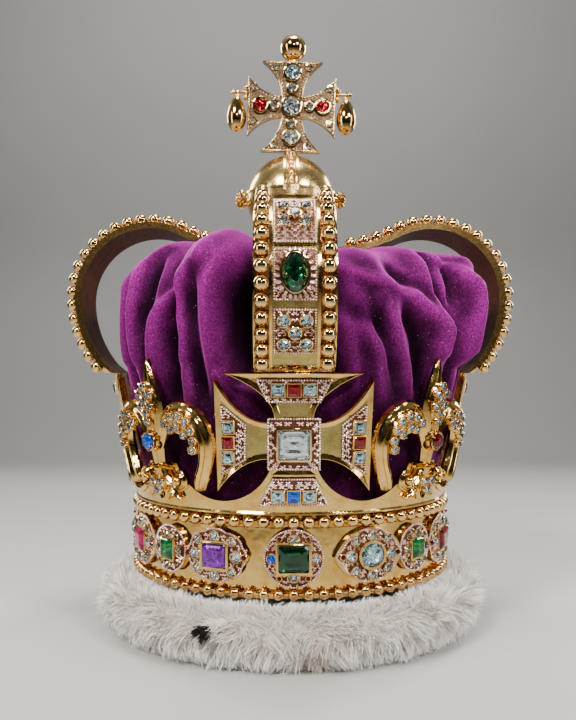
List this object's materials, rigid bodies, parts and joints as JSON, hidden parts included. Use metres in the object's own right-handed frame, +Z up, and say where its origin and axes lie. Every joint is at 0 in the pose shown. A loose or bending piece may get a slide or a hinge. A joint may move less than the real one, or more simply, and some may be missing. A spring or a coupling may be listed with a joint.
{
  "type": "arched crown",
  "caption": "Arched ceremonial crown: jewelled gold band with crosses and lily flowers, half arches, orb and top cross, velvet cap and fur rim.",
  "frame": {"origin": "centre of the fur rim's underside, on the surface that the crown stands on", "axes": "+Z up through the top ball, -Y towards the front cross, +X to the right of someone who faces the front"},
  "size_m": [0.277, 0.277, 0.3719],
  "materials": {
    "gold": "polished gilding with satin fields",
    "velvet": "deep purple pile velvet",
    "fur": "long soft white fur",
    "green_gem": "cut and polished paste stone",
    "pale_gem": "cut and polished paste stone",
    "red_gem": "cut and polished paste stone",
    "blue_gem": "cut and polished paste stone",
    "violet_gem": "cut and polished paste stone",
    "pink_gem": "cut and polished paste stone",
    "clear_gem": "cut and polished paste stone"
  },
  "bodies": {
    "root": {"circlet": "gold", "upper_beads": "gold", "lower_beads": "gold", "cross_front": "gold", "cross_right": "gold", "cross_back": "gold", "cross_left": "gold", "lily_front_right": "gold", "lily_back_right": "gold", "lily_back_left": "gold", "lily_front_left": "gold", "arch_front": "gold", "arch_right": "gold", "arch_back": "gold", "arch_left": "gold", "arch_beads_front": "gold", "arch_beads_right": "gold", "arch_beads_back": "gold", "arch_beads_left": "gold", "orb": "gold", "top_cross": "gold", "top_ball": "gold", "drop_left": "gold", "drop_right": "gold", "velvet_cap": "velvet", "fur_rim": "fur", "band_stone_0": "green_gem", "band_stone_1": "pale_gem", "band_stone_2": "green_gem", "band_stone_3": "red_gem", "band_stone_4": "blue_gem", "band_stone_5": "violet_gem", "band_stone_6": "green_gem", "band_stone_7": "pale_gem", "band_stone_8": "green_gem", "band_stone_9": "red_gem", "band_stone_10": "green_gem", "band_stone_11": "blue_gem", "band_stone_12": "pale_gem", "band_stone_13": "pink_gem", "band_stone_14": "green_gem", "band_stone_15": "violet_gem", "cross_stone_front": "clear_gem", "cross_stone_right": "clear_gem", "cross_stone_back": "clear_gem", "cross_stone_left": "clear_gem", "arch_stone_front": "green_gem", "arch_stone_right": "green_gem", "arch_stone_back": "green_gem", "arch_stone_left": "green_gem", "lily_stone_front_right": "blue_gem", "lily_stone_back_right": "blue_gem", "lily_stone_back_left": "blue_gem", "lily_stone_front_left": "blue_gem", "band_small_stones": "clear_gem", "cross_small_stones": "clear_gem", "arch_small_stones": "clear_gem", "lily_small_stones": "clear_gem", "top_cross_stones": "clear_gem"}
  },
  "joints": []
}
